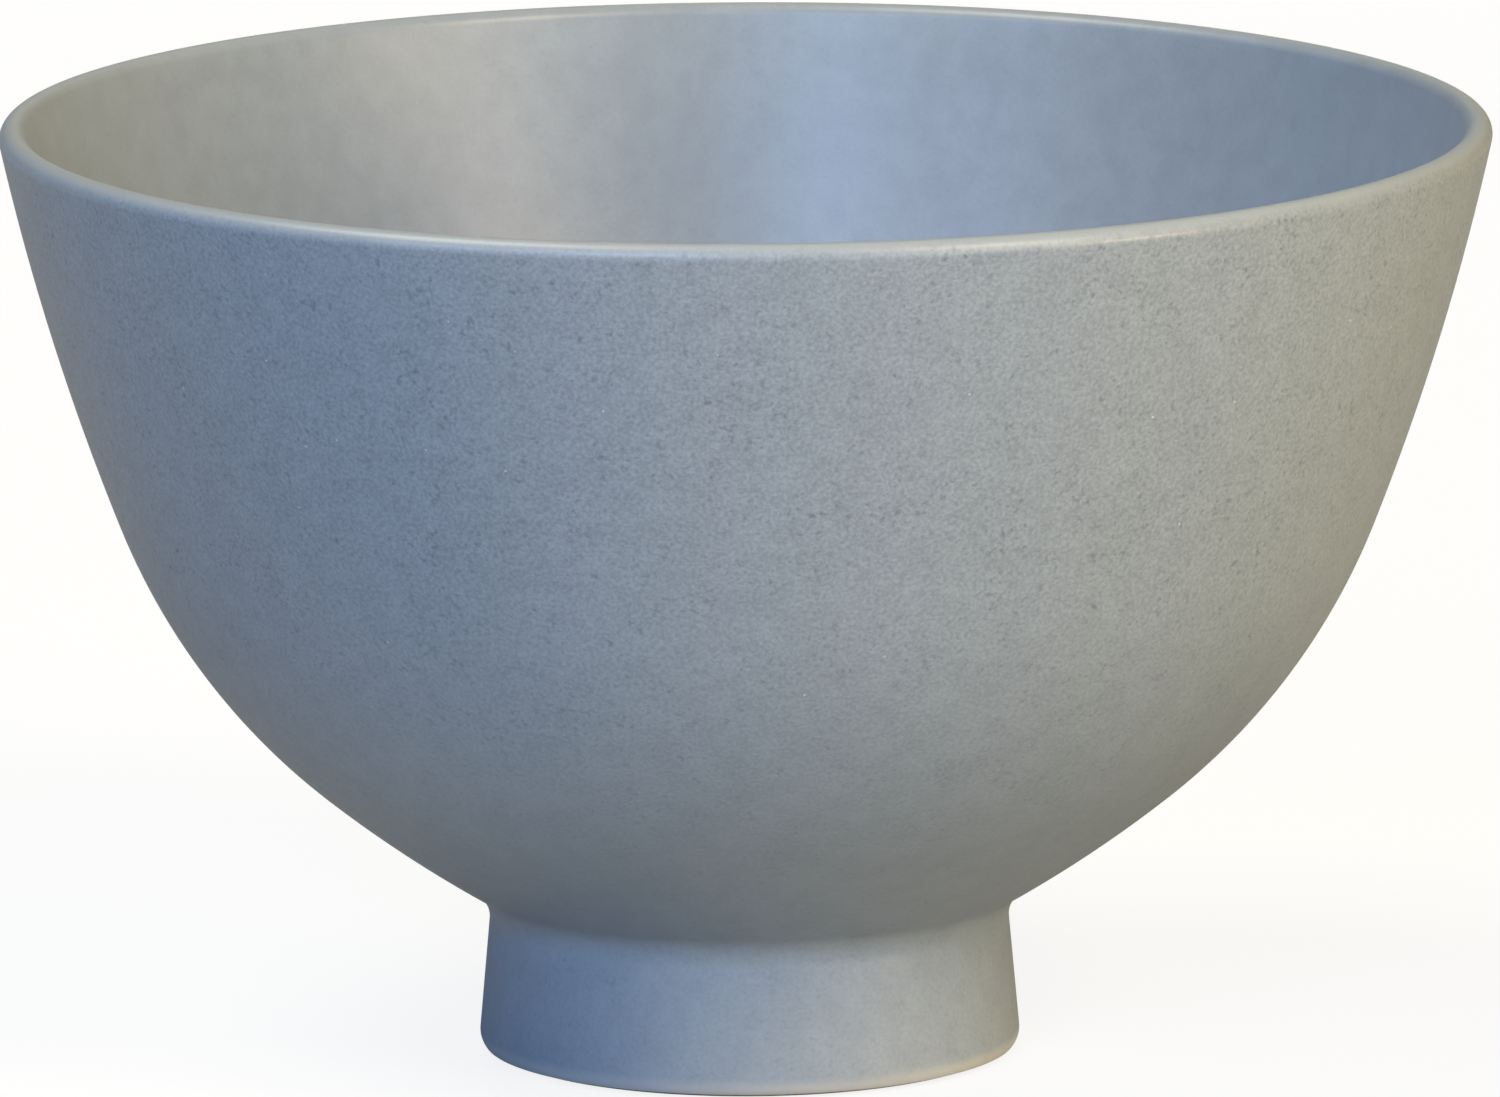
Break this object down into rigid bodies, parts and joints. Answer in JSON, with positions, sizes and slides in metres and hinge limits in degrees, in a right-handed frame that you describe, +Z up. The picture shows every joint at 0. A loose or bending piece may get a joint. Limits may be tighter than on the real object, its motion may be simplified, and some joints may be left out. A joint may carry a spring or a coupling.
{
  "type": "latte bowl",
  "caption": "Handleless footed bowl for milky coffee: flared wall with a thin round lip, full belly and a tall flared foot ring, in mottled satin grey-blue glaze.",
  "frame": {"origin": "middle of the plane that the foot stands on", "axes": "+Z up along the bowl's axis of revolution; +X and +Y lie in the standing plane"},
  "size_m": [0.13, 0.13, 0.0823],
  "materials": {
    "clay": "dry fired stoneware body, pale buff, bare only where the foot stands",
    "slip": "fired slip of the same clay",
    "glaze": "satin grey-blue glaze with fine dark mottling, breaking paler on the lip and the foot's edge"
  },
  "bodies": {
    "root": {"bowl_cup": "clay", "foot_ring": "clay", "luting_slip": "slip", "inside_glaze": "glaze", "outside_glaze": "glaze", "recess_glaze": "glaze"}
  },
  "joints": []
}
